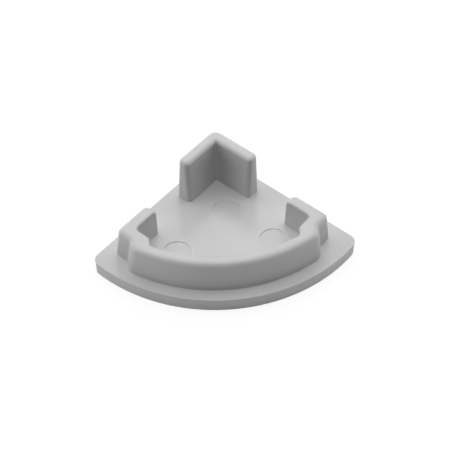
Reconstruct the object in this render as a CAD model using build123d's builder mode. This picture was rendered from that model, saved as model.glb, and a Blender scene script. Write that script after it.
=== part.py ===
from build123d import *
import os
from math import asin, pi, radians, sqrt, tan

# End cap for a quarter-round corner profile, moulded in one piece.
# The flange lies on its flat outer face, on the plane Z = 0, and the walls that plug into the
# profile stand up from it. The back corner of the flange points along +Y, its curved front edge
# faces -Y, and the middle of the outer face is the origin. All sizes are in millimetres.

# Flange
side_length = 19.0          # straight side, from the sharp back corner to the sharp front tip
front_radius = 17.7         # curved front edge
flange_thickness = 1.6
tip_radius = 0.9            # the two front tips
back_corner_radius = 1.0

# Front wall, which plugs into the profile: a curved wall with a stepped end on each side
front_wall_height = 3.55    # above the flange
front_wall_shift = -0.18    # it stands a little to the left of the middle
front_rim = 1.24            # flange left free outside the curved wall
side_rim = 1.36             # flange left free outside the two short side walls
curved_wall_thickness = 1.55
side_wall_thickness = 1.61
side_wall_length = 4.67
notch_depth = 1.65          # from a side wall's outer face in to the end of the curved wall
end_face_length = 1.3       # from the notch forward to the curved face
return_wall_length = 1.8    # from a side wall's inner face in to the step
step_length = 0.92          # from the return wall forward to the curved wall's inner face
foot_corner_radius = 0.3    # upright edges at the foot
top_corner_radius = 0.7     # the same edges at the top
hollow_corner_radius = 0.4  # upright edges on the side toward the hollow
curved_end_radius = 1.2     # upright edges at both ends of the curved face
front_edge_radius = 0.6     # top edges, all but those around the hollow
hollow_edge_radius = 0.2    # top edges around the hollow

# Back wall, an angle that fills the inner corner of the profile
angle_height = 5.57         # above the flange
angle_shift = -0.08         # it stands a little to the left of the middle
angle_rim = 1.03            # flange left free outside the angle
angle_thickness = 1.73
angle_end = 7.12            # end of an arm, from the back corner, measured along the side
angle_outer_radius = 0.9
angle_inner_radius = 0.2
angle_end_radius = 0.5      # upright edges at the end of an arm
angle_foot_radius = 0.35    # the outer one of them, at its foot
angle_edge_radius = 0.45    # top edges

# Draft, in degrees
curved_face_draft = 5.7     # the curved face of the front wall
curved_end_draft = 8.5      # both ends of the curved wall
front_outer_draft = 3.6     # the other faces of the front wall that meet the profile
front_inner_draft = 0.8     # faces of the front wall toward the hollow
side_end_draft = 0.3        # rear ends of the side walls
angle_draft = 2.5           # long faces of the angle
angle_end_draft = 1.0       # ends of the angle

# Round marks left by the mould's three ejector pins
mark_radius = 1.5
mark_depth = 0.08
back_mark = (0.6, 8.2)      # across from the middle, and forward from the back corner
left_mark = (-4.85, 6.21)   # across from the middle, and back from the front edge
right_mark = (4.95, 6.96)

# Both sides run at 45 degrees to the middle line, so a step of 1 along or in from a side is
# a step of this size across or forward.
half_turn = sqrt(0.5)
corner_cut = sqrt(2) - 1

# The front edge is an arc that ends on both front tips. Its centre lies as far in from one side
# as from the other. The walls' curved faces are arcs about the same centre.
centre_step = (side_length - sqrt(2 * front_radius**2 - side_length**2)) / 2
centre_forward = centre_step / half_turn
flange_depth = centre_forward + front_radius
back_y = (flange_depth + back_corner_radius * corner_cut) / 2
front_y = back_y - flange_depth
centre_y = back_y - centre_forward


def left_point(along, inward):
    """Point measured along the left side from the back corner, and inward from that side."""
    return ((inward - along) * half_turn, back_y - (inward + along) * half_turn)


def arc_point(radius, across):
    """Point of a curved face at a distance across from the middle line."""
    return (across, centre_y - sqrt(radius**2 - across**2))


def along_to_arc(radius, inward, setback):
    """Distance along a side, at a distance in from it, to a point that far behind an arc."""
    centre = centre_step - setback * half_turn
    return centre + sqrt(radius**2 - (inward - centre) ** 2)


def lean(height, draft):
    """How far a face with that draft has leaned in at a height."""
    return height * tan(radians(draft))


# Feet of the stepped ends
outer_arc = front_radius - front_rim
inner_arc = outer_arc - curved_wall_thickness
side_wall_inner = side_rim + side_wall_thickness
notch_inward = side_rim + notch_depth
side_wall_end = along_to_arc(outer_arc, notch_inward, end_face_length)
side_wall_back = side_wall_end - side_wall_length
curved_half_width = (side_wall_end - notch_inward) * half_turn
step_inward = side_wall_inner + return_wall_length
return_start = along_to_arc(inner_arc, step_inward, step_length)
step_half_width = (return_start - step_inward) * half_turn

# The walls are thinnest at the top. So that the rounded edges still fit there when a size
# changes, each takes at most a share of the wall, or of the upright corner that it runs around.
hollow_lean = lean(front_wall_height, front_inner_draft)
side_wall_top = side_wall_thickness - lean(front_wall_height, front_outer_draft) - hollow_lean
curved_wall_top = curved_wall_thickness - lean(front_wall_height, curved_face_draft) - hollow_lean
thinnest_top = min(side_wall_top, curved_wall_top)
front_edge = min(front_edge_radius, 0.6 * thinnest_top, 0.9 * top_corner_radius)
hollow_edge = min(hollow_edge_radius, 0.3 * thinnest_top)
arm_top = angle_thickness - 2 * lean(angle_height, angle_draft)
arm_end_radius = min(angle_end_radius, 0.45 * arm_top)
angle_edge = min(angle_edge_radius, 0.9 * arm_end_radius)

# Front wall. First comes a plug, which is the wall's outer shape filled in between its ends, and
# then the hollow is cut out of it. Both are lofts: their outlines are drawn at the foot and again
# at the top, where the faces have leaned in by their draft.
with BuildPart() as front_wall:
    for height, corner_radius in ((0, foot_corner_radius), (front_wall_height, top_corner_radius)):
        outer_radius = outer_arc - lean(height, curved_face_draft)
        half_width = curved_half_width - lean(height, curved_end_draft)
        outer_face = side_rim + lean(height, front_outer_draft)
        front_face = side_wall_end - lean(height, front_outer_draft)
        back_face = side_wall_back + lean(height, side_end_draft)
        arc_end = arc_point(outer_radius, -half_width)
        notch_corner = left_point(front_face, front_face - half_width / half_turn)
        front_corner = left_point(front_face, outer_face)
        back_corner = left_point(back_face, outer_face)
        middle = left_point(back_face, step_inward)
        # Both corners of the end face have to fit on it. A corner takes up its radius times the
        # tangent of half the angle that the outline turns by.
        end_face = notch_corner[1] - arc_end[1]
        turn = pi / 2 - asin(half_width / outer_radius)
        rounding = {
            notch_corner: min(corner_radius, 0.25 * end_face / tan(pi / 8)),
            front_corner: corner_radius,
            back_corner: corner_radius,
            arc_end: min(curved_end_radius, 0.7 * end_face / tan(turn / 2)),
        }
        with BuildSketch(Plane((front_wall_shift, 0, flange_thickness + height))) as plug_outline:
            with BuildLine():
                Polyline(arc_end, notch_corner, front_corner, back_corner, middle, (0, middle[1]))
                mirror(about=Plane.YZ)
                ThreePointArc(arc_end, (0, centre_y - outer_radius), (half_width, arc_end[1]))
            make_face()
            for (across, forward), radius in rounding.items():
                for corner in ((across, forward), (-across, forward)):
                    fillet(plug_outline.vertices().sort_by_distance(corner)[0], radius)
    loft(ruled=True)
    fillet(front_wall.edges().group_by(Axis.Z)[-1], front_edge)
    for height in (0, front_wall_height):
        inner_radius = inner_arc + lean(height, front_inner_draft)
        half_step = step_half_width + lean(height, front_inner_draft)
        inner_face = side_wall_inner - lean(height, front_inner_draft)
        return_face = return_start + lean(height, front_inner_draft)
        arc_end = arc_point(inner_radius, -half_step)
        step_corner = left_point(return_face, return_face - half_step / half_turn)
        return_corner = left_point(return_face, inner_face)
        opening = left_point(side_wall_back - side_wall_thickness, inner_face)
        with BuildSketch(Plane((front_wall_shift, 0, flange_thickness + height))) as hollow_outline:
            with BuildLine():
                Polyline(arc_end, step_corner, return_corner, opening, (0, opening[1]))
                mirror(about=Plane.YZ)
                ThreePointArc(arc_end, (0, centre_y - inner_radius), (half_step, arc_end[1]))
            make_face()
            for across, forward in (arc_end, step_corner, return_corner):
                for corner in ((across, forward), (-across, forward)):
                    nearest = hollow_outline.vertices().sort_by_distance(corner)[0]
                    fillet(nearest, hollow_corner_radius)
    loft(ruled=True, mode=Mode.SUBTRACT)
    fillet(front_wall.edges(Select.LAST).group_by(Axis.Z)[-1], hollow_edge)

# Back angle: two arms that meet behind the hollow, drawn at the foot and at the top.
with BuildPart() as back_angle:
    for height, outer_end_radius in ((0, angle_foot_radius), (angle_height, arm_end_radius)):
        outer_face = angle_rim + lean(height, angle_draft)
        inner_face = angle_rim + angle_thickness - lean(height, angle_draft)
        arm_end = angle_end - lean(height, angle_end_draft)
        back_corner = left_point(outer_face, outer_face)
        outer_end = left_point(arm_end, outer_face)
        inner_end = left_point(arm_end, inner_face)
        inner_corner = left_point(inner_face, inner_face)
        rounding = {
            back_corner: angle_outer_radius,
            outer_end: outer_end_radius,
            inner_end: arm_end_radius,
            inner_corner: angle_inner_radius,
        }
        with BuildSketch(Plane((angle_shift, 0, flange_thickness + height))) as angle_outline:
            with BuildLine():
                Polyline(back_corner, outer_end, inner_end, inner_corner)
                mirror(about=Plane.YZ)
            make_face()
            # A corner on the middle line is its own mirror image, so the set holds it once.
            for (across, forward), radius in rounding.items():
                for corner in {(across, forward), (-across, forward)}:
                    fillet(angle_outline.vertices().sort_by_distance(corner)[0], radius)
    loft(ruled=True)
    fillet(back_angle.edges().group_by(Axis.Z)[-1], angle_edge)

# The whole cap
with BuildPart() as end_cap:
    with BuildSketch() as flange:
        with BuildLine():
            Line((0, back_y), left_point(side_length, 0))
            mirror(about=Plane.YZ)
            ThreePointArc(
                left_point(side_length, 0),
                (0, front_y),
                (side_length * half_turn, left_point(side_length, 0)[1]),
            )
        make_face()
        fillet(flange.vertices().group_by(Axis.Y)[-1], back_corner_radius)
        fillet(flange.vertices().group_by(Axis.Y)[0], tip_radius)
    extrude(amount=flange_thickness)
    with BuildSketch(Plane.XY.offset(flange_thickness)) as marks:
        with Locations(
            (back_mark[0], back_y - back_mark[1]),
            (left_mark[0], front_y + left_mark[1]),
            (right_mark[0], front_y + right_mark[1]),
        ):
            Circle(mark_radius)
    extrude(amount=-mark_depth, mode=Mode.SUBTRACT)
    add(front_wall.part)
    add(back_angle.part)

end_cap.part.label = "end_cap"
os.makedirs("parts", exist_ok=True)
export_step(end_cap.part, "parts/end_cap.step")
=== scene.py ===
# %% [markdown]
# # A moulded end cap for a corner profile
# This lesson dresses one small plastic part: the cap that closes the end of a quarter-round
# corner profile. The shape comes from CAD, so nothing is modelled twice. What Blender adds is
# the look of the moulded plastic, a white table, soft light, and the camera.
# Every length is in metres, in the frame of the CAD model: the cap lies on the plane Z = 0, its
# square corner points along +Y and its curved front edge faces -Y.

# %% Load the CAD model
from math import cos, pi, radians, sin

import bpy
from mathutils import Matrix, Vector

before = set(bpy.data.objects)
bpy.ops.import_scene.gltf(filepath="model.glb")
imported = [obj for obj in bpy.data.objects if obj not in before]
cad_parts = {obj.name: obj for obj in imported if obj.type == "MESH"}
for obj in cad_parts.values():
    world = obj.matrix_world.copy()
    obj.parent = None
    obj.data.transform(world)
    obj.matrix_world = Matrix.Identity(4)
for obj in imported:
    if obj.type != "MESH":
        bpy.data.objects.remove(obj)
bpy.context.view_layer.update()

MM = 0.001
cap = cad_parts["end_cap"]
print("triangles:", len(cap.data.polygons))

# %% [markdown]
# ## Writing shader maths as plain expressions
# A material is a tree of nodes. Drawn by hand, a formula of ten steps is ten nodes and a dozen
# links. Here a small class stands for one socket, so that `1 - mask` or `height * 0.2` adds the
# Math node and links it. Its `node` method adds any other node: the settings go in first,
# because some of them change which sockets there are.


# %% A socket that can be added and multiplied
class Wire:
    """One output socket of a node tree. Arithmetic on it adds Math nodes."""

    def __init__(self, tree, socket=None):
        self.tree = tree
        self.socket = socket

    def node(self, kind, settings=None, sockets=None, output=0):
        """Adds a node, sets it up, fills or links its sockets, and gives one of its outputs."""
        made = self.tree.nodes.new(kind)
        for name, value in (settings or {}).items():
            setattr(made, name, value)
        for name, value in (sockets or {}).items():
            if isinstance(value, Wire):
                self.tree.links.new(value.socket, made.inputs[name])
            else:
                made.inputs[name].default_value = value
        return Wire(self.tree, made.outputs[output])

    def maths(self, operation, *others):
        """A Math node whose first value is this socket."""
        values = dict(enumerate((self, *others)))
        return self.node("ShaderNodeMath", {"operation": operation}, values)

    def ramp(self, low, high, at_low=0.0, at_high=1.0):
        """Goes smoothly from one value to another while this socket goes from low to high."""
        limits = {"From Min": low, "From Max": high, "To Min": at_low, "To Max": at_high}
        settings = {"interpolation_type": "SMOOTHSTEP"}
        return self.node("ShaderNodeMapRange", settings, {"Value": self, **limits})

    def feed(self, node, socket):
        """Links this socket to a socket of another node."""
        self.tree.links.new(self.socket, node.inputs[socket])

    def __add__(self, other):
        return self.maths("ADD", other)

    def __sub__(self, other):
        return self.maths("SUBTRACT", other)

    def __rsub__(self, other):
        return self.node("ShaderNodeMath", {"operation": "SUBTRACT"}, {0: other, 1: self})

    def __mul__(self, other):
        return self.maths("MULTIPLY", other)

    __radd__ = __add__
    __rmul__ = __mul__


print("socket maths ready")

# %% [markdown]
# ## The grey plastic
# The cap is injection moulded in one shot of light grey plastic, so one material covers it. It
# is a neutral, even grey with a satin finish, with no gloss spot and no grain that the eye
# picks out at arm's length. A single flat colour would look like a computer's default, though.
# Close up, each side of a moulding shows how its half of the mould was finished, and that is
# what the nodes below build, one finish at a time:
# - the whole cavity was spark eroded, which leaves a fine, even grain;
# - the walls slid out of narrow slots, which leaves faint upright lines;
# - three ejector pins pushed the cap out, and their ground ends left smoother discs;
# - the outer face, the one that stays visible in use, has a slightly coarser texture.
# All of it reads Object coordinates, in metres, so the sizes below are real ones.

# %% Start the material and split up the place on the surface
plastic = bpy.data.materials.new("grey moulded plastic")
plastic.use_nodes = True
plastic_shader = plastic.node_tree.nodes["Principled BSDF"]
blank = Wire(plastic.node_tree)

place = blank.node("ShaderNodeTexCoord", output="Object")
height = place.node("ShaderNodeSeparateXYZ", sockets={0: place}, output="Z")
facing = blank.node("ShaderNodeTexCoord", output="Normal")
upward = facing.node("ShaderNodeSeparateXYZ", sockets={0: facing}, output="Z")

# 1 on the walls, which lean by less than 9 degrees, and 0 on what faces up or down
upright = upward.maths("ABSOLUTE").ramp(0.15, 0.45, 1.0, 0.0)
# 1 on the outer face and 0 from just above it
outer_face = height.ramp(0.02 * MM, 0.12 * MM, 1.0, 0.0)
print("material:", plastic.name)

# %% [markdown]
# ### Noise at a real size
# The Noise texture repeats itself about once per unit at scale 1, and the unit here is a
# metre. A helper that takes the size of one speck in millimetres keeps the numbers readable. It
# can also stretch the pattern, by first multiplying the coordinates by a vector.


# %% A helper for noise
def noise(speck, detail=2.0, stretch=(1, 1, 1)):
    """Noise between 0 and 1 whose specks are that many millimetres wide."""
    scaled = {"operation": "MULTIPLY"}
    spot = place.node("ShaderNodeVectorMath", scaled, {0: place, 1: stretch})
    sizes = {"Vector": spot, "Scale": 1 / (speck * MM), "Detail": detail}
    return place.node("ShaderNodeTexNoise", sockets=sizes)


cavity_grain = noise(speck=0.16)
outer_grain = noise(speck=0.30, detail=3.0)
draw_lines = noise(speck=0.11, stretch=(1, 1, 0.05))
clouds = noise(speck=4.5, detail=3.0)
print("four layers of noise, from 0.11 mm draw lines to 4.5 mm clouds")

# %% [markdown]
# ### The three ejector marks
# The CAD model has the marks as shallow round pockets. Only their finish is missing: the end
# of a pin is ground flat on a lathe, so the plastic there is a little smoother and carries very
# faint rings. The discs are also painted a slightly darker grey, a painted reflection of the dark
# walls that their smoother plastic mirrors. The distance to the nearest centre gives both the
# disc and the rings.
# The disc counts only at the height of the pockets' floors, so the outer face below stays as it
# is. On one side of each mark the edge gets a painted highlight: a fine pale line painted on the
# flange, and painted light on the wall of the pocket that weakens its shadow. On the other side
# the crisp edge keeps its real thin shadow. The dot product with a direction tells the two sides
# apart.

# %% Discs, rings and painted highlights on their edges
# In millimetres, as in the CAD model
FLANGE_TOP = 1.60
MARK_FLOOR = 1.52
MARK_RADIUS = 1.5
RING_PITCH = 0.16
# The painted highlight line reaches this far in and out from the edge of a mark, and fades over
# these widths.
LINE_IN = 0.06
LINE_OUT = 0.10
FADE_IN = 0.04
FADE_OUT = 0.06
# It is full where the dot product with its direction is above the second value, and gone below
# the first.
SIDE_START = 0.35
SIDE_FULL = 0.85
# Each mark has its place across and along, the direction in degrees in which its painted
# highlight lies, and how strong that painted highlight is on the flange. On the wall of the
# pocket the painted light is full.
MARKS = ((0.60, 1.81, 85, 0.35), (-4.85, -3.39, 35, 0.40), (4.95, -2.64, 35, 0.45))


def distance_and_side(across, along, direction):
    """Distance to a mark's centre, and 1 to -1 from one side of the mark to the other."""
    centre = {0: place, 1: (across * MM, along * MM, FLANGE_TOP * MM)}
    offset = place.node("ShaderNodeVectorMath", {"operation": "SUBTRACT"}, centre)
    gap = offset.node("ShaderNodeVectorMath", {"operation": "LENGTH"}, {0: offset}, output="Value")
    unit = offset.node("ShaderNodeVectorMath", {"operation": "NORMALIZE"}, {0: offset})
    compass = {0: unit, 1: (cos(radians(direction)), sin(radians(direction)), 0)}
    side = unit.node("ShaderNodeVectorMath", {"operation": "DOT_PRODUCT"}, compass, output="Value")
    return gap, side


nearest = None
painted_highlight_edge = None
line_start = (MARK_RADIUS - LINE_IN) * MM
line_end = (MARK_RADIUS + LINE_OUT) * MM
# Painted highlight: a pale line on one side of each mark's edge, and painted light on that side of
# the pocket's wall.
for across, along, direction, on_flange in MARKS:
    gap, side = distance_and_side(across, along, direction)
    nearest = gap if nearest is None else nearest.maths("MINIMUM", gap)
    line = gap.ramp(line_start, line_start + FADE_IN * MM)
    line = line * gap.ramp(line_end - FADE_OUT * MM, line_end, 1.0, 0.0)
    line = line * side.ramp(SIDE_START, SIDE_FULL) * (upright * (1 - on_flange) + on_flange)
    painted_highlight_edge = line if painted_highlight_edge is None else painted_highlight_edge + line

# The painted light stops just above the flange, so the walls that stand beside the marks stay
# as they are.
painted_highlight_edge = painted_highlight_edge * height.ramp((FLANGE_TOP + 0.01) * MM, (FLANGE_TOP + 0.05) * MM, 1.0, 0.0)
pin_disc = nearest.ramp((MARK_RADIUS - FADE_IN) * MM, MARK_RADIUS * MM, 1.0, 0.0)
pin_disc = pin_disc * height.ramp((MARK_FLOOR + 0.02) * MM, (FLANGE_TOP - 0.02) * MM, 1.0, 0.0)
pin_rings = (nearest * (2 * pi / (RING_PITCH * MM))).maths("SINE") * 0.5 + 0.5
print("ejector marks:", len(MARKS))

# %% [markdown]
# ### One relief for all the finishes
# Real modelling of specks a tenth of a millimetre wide would take millions of faces. A Bump
# node tilts the normals instead, from a height map. Every finish adds its own relief, in
# micrometres, and the Bump node's distance turns micrometres into the unit of the scene.

# %% Add up the relief
MICROMETRE = 0.001 * MM
# How far each finish stands out, in micrometres
GRAIN_HEIGHT = 1.6
OUTER_TEXTURE_HEIGHT = 5.0
DRAW_LINE_HEIGHT = 1.6
RING_HEIGHT = 0.35

relief = cavity_grain * GRAIN_HEIGHT
relief = relief + outer_grain * outer_face * OUTER_TEXTURE_HEIGHT
relief = relief + draw_lines * upright * DRAW_LINE_HEIGHT
relief = relief + pin_rings * pin_disc * RING_HEIGHT
bumps = {"Strength": 1.0, "Distance": MICROMETRE, "Height": relief}
relief.node("ShaderNodeBump", sockets=bumps).feed(plastic_shader, "Normal")
print("relief of a few micrometres")

# %% [markdown]
# ### Colour
# The pigment isn't mixed perfectly, so the grey drifts by a few parts in a hundred over some
# millimetres. The pits of the grain are also a trace darker, a painted shade. Two greys and a Mix
# node give that drift and shade, and two more Mix nodes lay over it the discs' darker grey, a
# painted reflection, and the painted highlights on their edges.


# %% Greys
def grey(level):
    """A colour without hue, as red, green, blue and alpha."""
    return (level, level, level, 1.0)


def mixed_colour(share, first, second):
    """The first colour where the share is 0, and the second one where it is 1."""
    # A Mix node has sockets for every kind of value. Those for colours are found by number.
    colours = {0: share, 6: first, 7: second}
    return share.node("ShaderNodeMix", {"data_type": "RGBA"}, colours, output=2)


LIGHT_GREY = grey(0.575)
DARK_GREY = grey(0.545)
# A darker grey for the discs, a painted reflection of the dark walls.
DISC_PAINTED_REFLECTION_GREY = grey(0.50)
# A pale grey for the painted highlight on one side of each mark's edge.
PAINTED_HIGHLIGHT_GREY = grey(0.80)
DISC_SHARE = 0.3
CLOUD_SHARE = 0.6
# Noise seldom leaves its middle range, so this part of it is stretched to go from 0 to 1.
CLOUD_LOW = 0.32
CLOUD_HIGH = 0.68

# The clouds give the grey its random drift. The grain's share darkens its pits, a painted shade.
shade = clouds.ramp(CLOUD_LOW, CLOUD_HIGH) * CLOUD_SHARE + cavity_grain * (1 - CLOUD_SHARE)
colour = mixed_colour(shade, DARK_GREY, LIGHT_GREY)
# The discs' darker grey, a painted reflection.
colour = mixed_colour(pin_disc * DISC_SHARE, colour, DISC_PAINTED_REFLECTION_GREY)
# The painted highlight on the marks' edges.
colour = mixed_colour(painted_highlight_edge, colour, PAINTED_HIGHLIGHT_GREY)
colour.feed(plastic_shader, "Base Color")
print("greys:", DARK_GREY[0], "to", LIGHT_GREY[0])

# %% [markdown]
# ### Sheen
# The light that glances off the plastic spreads into a broad, dull sheen. The roughness sets how
# broad it is, and drifts with the grey. It is a little lower on the discs that the pins left, and
# higher on the outer face with its coarser texture. The specular level sets how much light
# glances off. At Blender's usual 0.5 the shaded faces came out lighter than they are in the
# photograph, so it is lower here.

# %% Roughness, and the plastic on the cap
ROUGHNESS = 0.46
ROUGHNESS_DRIFT = 0.08
ROUGHER_OUTER_FACE = 0.08
SMOOTHER_DISCS = 0.07
SPECULAR_LEVEL = 0.3

roughness = clouds * ROUGHNESS_DRIFT + (ROUGHNESS - ROUGHNESS_DRIFT / 2)
roughness = roughness + outer_face * ROUGHER_OUTER_FACE - pin_disc * SMOOTHER_DISCS
roughness.feed(plastic_shader, "Roughness")
plastic_shader.inputs["IOR"].default_value = 1.5
plastic_shader.inputs["Specular IOR Level"].default_value = SPECULAR_LEVEL

for slot in cap.material_slots:
    slot.material = plastic
print("plastic on", cap.name, "in", len(cap.material_slots), "slot")

# %% [markdown]
# ## A white that only the eye sees
# Photographs of small parts are made on a sheet of white card that is lit until it is pure
# white. Adding light for that would burn out the cap as well. So what surrounds the cap is
# ordinary for the light that bounces between it and the cap, and looks white only to the camera,
# to reflections and to what is seen through glass. The Light Path node tells those rays apart.


# %% A mask for the rays that are seen
def seen(tree):
    """1 for the rays of the camera, of reflections and of glass, and 0 for bounced light."""
    start = Wire(tree)
    camera = start.node("ShaderNodeLightPath", output="Is Camera Ray")
    mirrored = start.node("ShaderNodeLightPath", output="Is Glossy Ray")
    through = start.node("ShaderNodeLightPath", output="Is Transmission Ray")
    return camera.maths("MAXIMUM", mirrored).maths("MAXIMUM", through)


print("mask ready")

# %% [markdown]
# ## The white card
# The card is a matt white with the faint mottle of its fibres. Over that shading lies a white
# glow that only the mask above lets through. Near the cap the glow leaves a part of the real
# shading in place, so the cap still stands on its soft shadow. Far from the cap the card is plain
# white, and no horizon shows from low down.

# %% Card
CARD_ROUGHNESS = 0.9
DARK_CARD = grey(0.84)
LIGHT_CARD = grey(0.86)
FIBRES_PER_METRE = 900.0
# The glow covers this share of the real shading at the cap, and all of it further away.
GLOW_SHARE = 0.80
# A strength of 1 is white. A little more makes up for the shading that is left near the cap.
GLOW_STRENGTH = 1.08
SHADOW_RADIUS = 14 * MM
WHITE_RADIUS = 60 * MM

card = bpy.data.materials.new("white card")
card.use_nodes = True
card_shader = card.node_tree.nodes["Principled BSDF"]
card_shader.inputs["Roughness"].default_value = CARD_ROUGHNESS
card_shader.inputs["Specular IOR Level"].default_value = 0.0

spot = Wire(card.node_tree).node("ShaderNodeTexCoord", output="Object")
grain = {"Vector": spot, "Scale": FIBRES_PER_METRE, "Detail": 4.0}
fibres = spot.node("ShaderNodeTexNoise", sockets=grain)
mixed_colour(fibres, DARK_CARD, LIGHT_CARD).feed(card_shader, "Base Color")

from_cap = spot.node("ShaderNodeVectorMath", {"operation": "LENGTH"}, {0: spot}, output="Value")
glow_share = seen(card.node_tree) * from_cap.ramp(SHADOW_RADIUS, WHITE_RADIUS, GLOW_SHARE, 1.0)
glow = spot.node("ShaderNodeEmission", sockets={"Color": grey(1.0), "Strength": GLOW_STRENGTH})
lit = Wire(card.node_tree, card_shader.outputs["BSDF"])
mixed = glow.node("ShaderNodeMixShader", sockets={0: glow_share, 1: lit, 2: glow})
mixed.feed(card.node_tree.nodes["Material Output"], "Surface")
print("material:", card.name)

# %% [markdown]
# ## The table
# The cap lies on its flat outer face, so the table is one flat plane, far wider than the view.
# It lies a hundredth of a millimetre below the cap. Two faces at one height would show through
# each other in patches, and a larger gap would let light in under the cap.

# %% Table
TABLE_WIDTH = 3.0
CARD_GAP = 0.01 * MM

bpy.ops.object.select_all(action="DESELECT")
bpy.ops.mesh.primitive_plane_add(size=TABLE_WIDTH, location=(0, 0, -CARD_GAP))
table = bpy.context.object
table.name = "table"
bpy.ops.object.transform_apply(location=True, rotation=False, scale=False)
table.data.materials.append(card)
print("table, in metres:", [round(side, 2) for side in table.dimensions])

# %% [markdown]
# ## A white room
# Beyond the table there is only the world. It is white for the camera and for reflections, in
# the same way as the table, and gives nearly no light itself: all the light comes from the
# soft boxes of the next step, so that their direction shows.

# %% The world
ROOM_LIGHT = 0.03
world = bpy.data.worlds.new("white room")
bpy.context.scene.world = world
world.use_nodes = True
background = world.node_tree.nodes["Background"]
background.inputs["Color"].default_value = grey(1.0)
seen(world.node_tree).ramp(0.0, 1.0, ROOM_LIGHT, 1.0).feed(background, "Strength")
print("world:", world.name)

# %% [markdown]
# ## Soft boxes
# In the photograph the tops and the edges that turn to the back are lightest, the faces toward
# the camera are darker, and no shadow is sharp. So the light comes from large soft sources: three
# in an arc behind the cap, one low on each side, and one overhead. The faces toward the camera
# get only what the other walls and the white table throw back.
# An area light 0.2 m wide, 0.3 m from a part of 26 mm, gives such soft edges. The overhead one is
# half as wide, which keeps the upright faces dark. The one nearly straight behind is narrower
# still, because the back angle has a shadow on the flange whose edges can just be made out. The
# power of each was found by rendering the cap under one lamp at a time and mixing those pictures
# until they met the greys of the photograph. Together they light a level white card to about its
# own colour.

# %% Six area lights
BOX_DISTANCE = 0.30


def toward(azimuth, elevation):
    """Unit vector from the cap. Azimuth 0 is straight in front, and 90 is to the right."""
    turn, rise = radians(azimuth), radians(elevation)
    return Vector((sin(turn) * cos(rise), -cos(turn) * cos(rise), sin(rise)))


def soft_box(name, azimuth, elevation, width, power):
    """Adds a square lamp that faces the cap. The width is in metres, and the power in watts."""
    lamp = bpy.data.lights.new(name, "AREA")
    lamp.shape = "SQUARE"
    lamp.size = width
    lamp.energy = power
    box = bpy.data.objects.new(name, lamp)
    bpy.context.scene.collection.objects.link(box)
    direction = toward(azimuth, elevation)
    box.location = direction * BOX_DISTANCE
    box.rotation_euler = (-direction).to_track_quat("-Z", "Y").to_euler()
    box.visible_camera = False
    print(f"{name}: {power} W")


soft_box("overhead box", 0, 89.9, 0.10, 0.26)
soft_box("rear box", 175, 49, 0.06, 0.13)
soft_box("rear right box", 135, 55, 0.20, 0.255)
soft_box("rear left box", 225, 55, 0.20, 0.225)
soft_box("right box", 90, 20, 0.20, 0.17)
soft_box("left box", 270, 20, 0.20, 0.27)

# %% [markdown]
# ## The camera
# The photograph looks down on the cap at about half a right angle and a little from the left. Its
# upright edges lean apart by a degree or two, so it was taken from close by with a long lens:
# 80 mm on a full frame, a hand's width away. The distance and the point that the camera looks
# at were found by matching the corners of the flange to those in the photograph.

# %% Camera
VIEW_AZIMUTH = -5.4
VIEW_ELEVATION = 50.7
VIEW_DISTANCE = 0.1045
LOOK_AT = Vector((0.345, 1.079, 0)) * MM

lens = bpy.data.cameras.new("camera")
lens.lens = 80.0
lens.sensor_width = 36.0
lens.clip_start = 0.001
lens.clip_end = 100.0
camera = bpy.data.objects.new("camera", lens)
bpy.context.scene.collection.objects.link(camera)
view_line = toward(VIEW_AZIMUTH, VIEW_ELEVATION)
camera.location = LOOK_AT + view_line * VIEW_DISTANCE
camera.rotation_euler = (-view_line).to_track_quat("-Z", "Y").to_euler()
bpy.context.scene.camera = camera
bpy.context.scene.view_settings.view_transform = "Standard"
print("camera at", [round(part / MM, 1) for part in camera.location], "mm")
